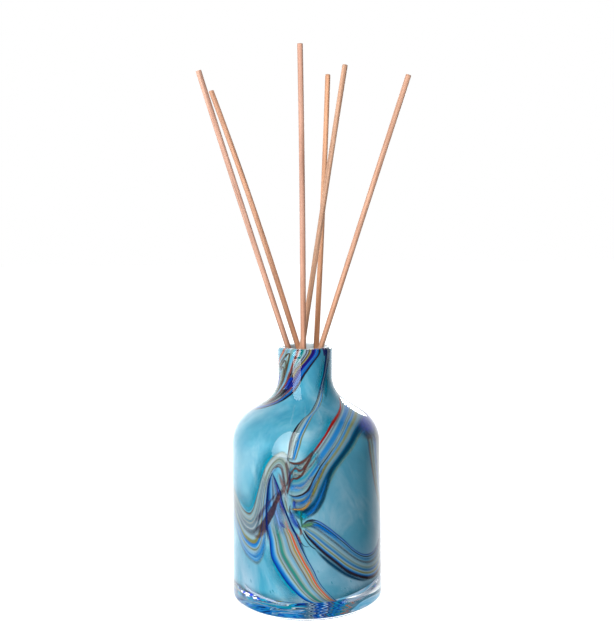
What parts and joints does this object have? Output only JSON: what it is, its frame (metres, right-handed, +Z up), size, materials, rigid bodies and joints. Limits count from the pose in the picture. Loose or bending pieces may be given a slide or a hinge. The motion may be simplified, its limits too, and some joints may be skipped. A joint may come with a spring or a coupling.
{
  "type": "reed diffuser",
  "caption": "Hand-blown bottle of cased turquoise glass with scented oil and loose rattan reeds that pull out through its neck.",
  "frame": {"origin": "on the bottle's axis, on the surface it stands on", "axes": "+Z up along the bottle's axis; -Y is the front"},
  "size_m": [0.1109, 0.0824, 0.2912],
  "materials": {
    "clear_glass": "polished",
    "turquoise_glass": "polished",
    "oil": "liquid",
    "rattan": "unvarnished"
  },
  "bodies": {
    "bottle": {"clear_casing": "clear_glass", "turquoise_liner": "turquoise_glass", "fragrance_oil": "oil"},
    "reed_1": {"reed_1": "rattan"},
    "reed_2": {"reed_2": "rattan"},
    "reed_3": {"reed_3": "rattan"},
    "reed_4": {"reed_4": "rattan"},
    "reed_5": {"reed_5": "rattan"},
    "reed_6": {"reed_6": "rattan"}
  },
  "joints": [
    {"name": "reed_1_pull", "type": "slide", "parent": "bottle", "child": "reed_1", "axis": [-0.2892, -0.1212, 0.9496], "range_m": [0, 0.14]},
    {"name": "reed_2_pull", "type": "slide", "parent": "bottle", "child": "reed_2", "axis": [-0.3022, 0.0492, 0.952], "range_m": [0, 0.14]},
    {"name": "reed_3_pull", "type": "slide", "parent": "bottle", "child": "reed_3", "axis": [0.0024, -0.0428, 0.9991], "range_m": [0, 0.14]},
    {"name": "reed_4_pull", "type": "slide", "parent": "bottle", "child": "reed_4", "axis": [0.0567, 0.212, 0.9756], "range_m": [0, 0.14]},
    {"name": "reed_5_pull", "type": "slide", "parent": "bottle", "child": "reed_5", "axis": [0.1599, 0.1187, 0.98], "range_m": [0, 0.14]},
    {"name": "reed_6_pull", "type": "slide", "parent": "bottle", "child": "reed_6", "axis": [0.3144, 0.013, 0.9492], "range_m": [0, 0.14]}
  ]
}
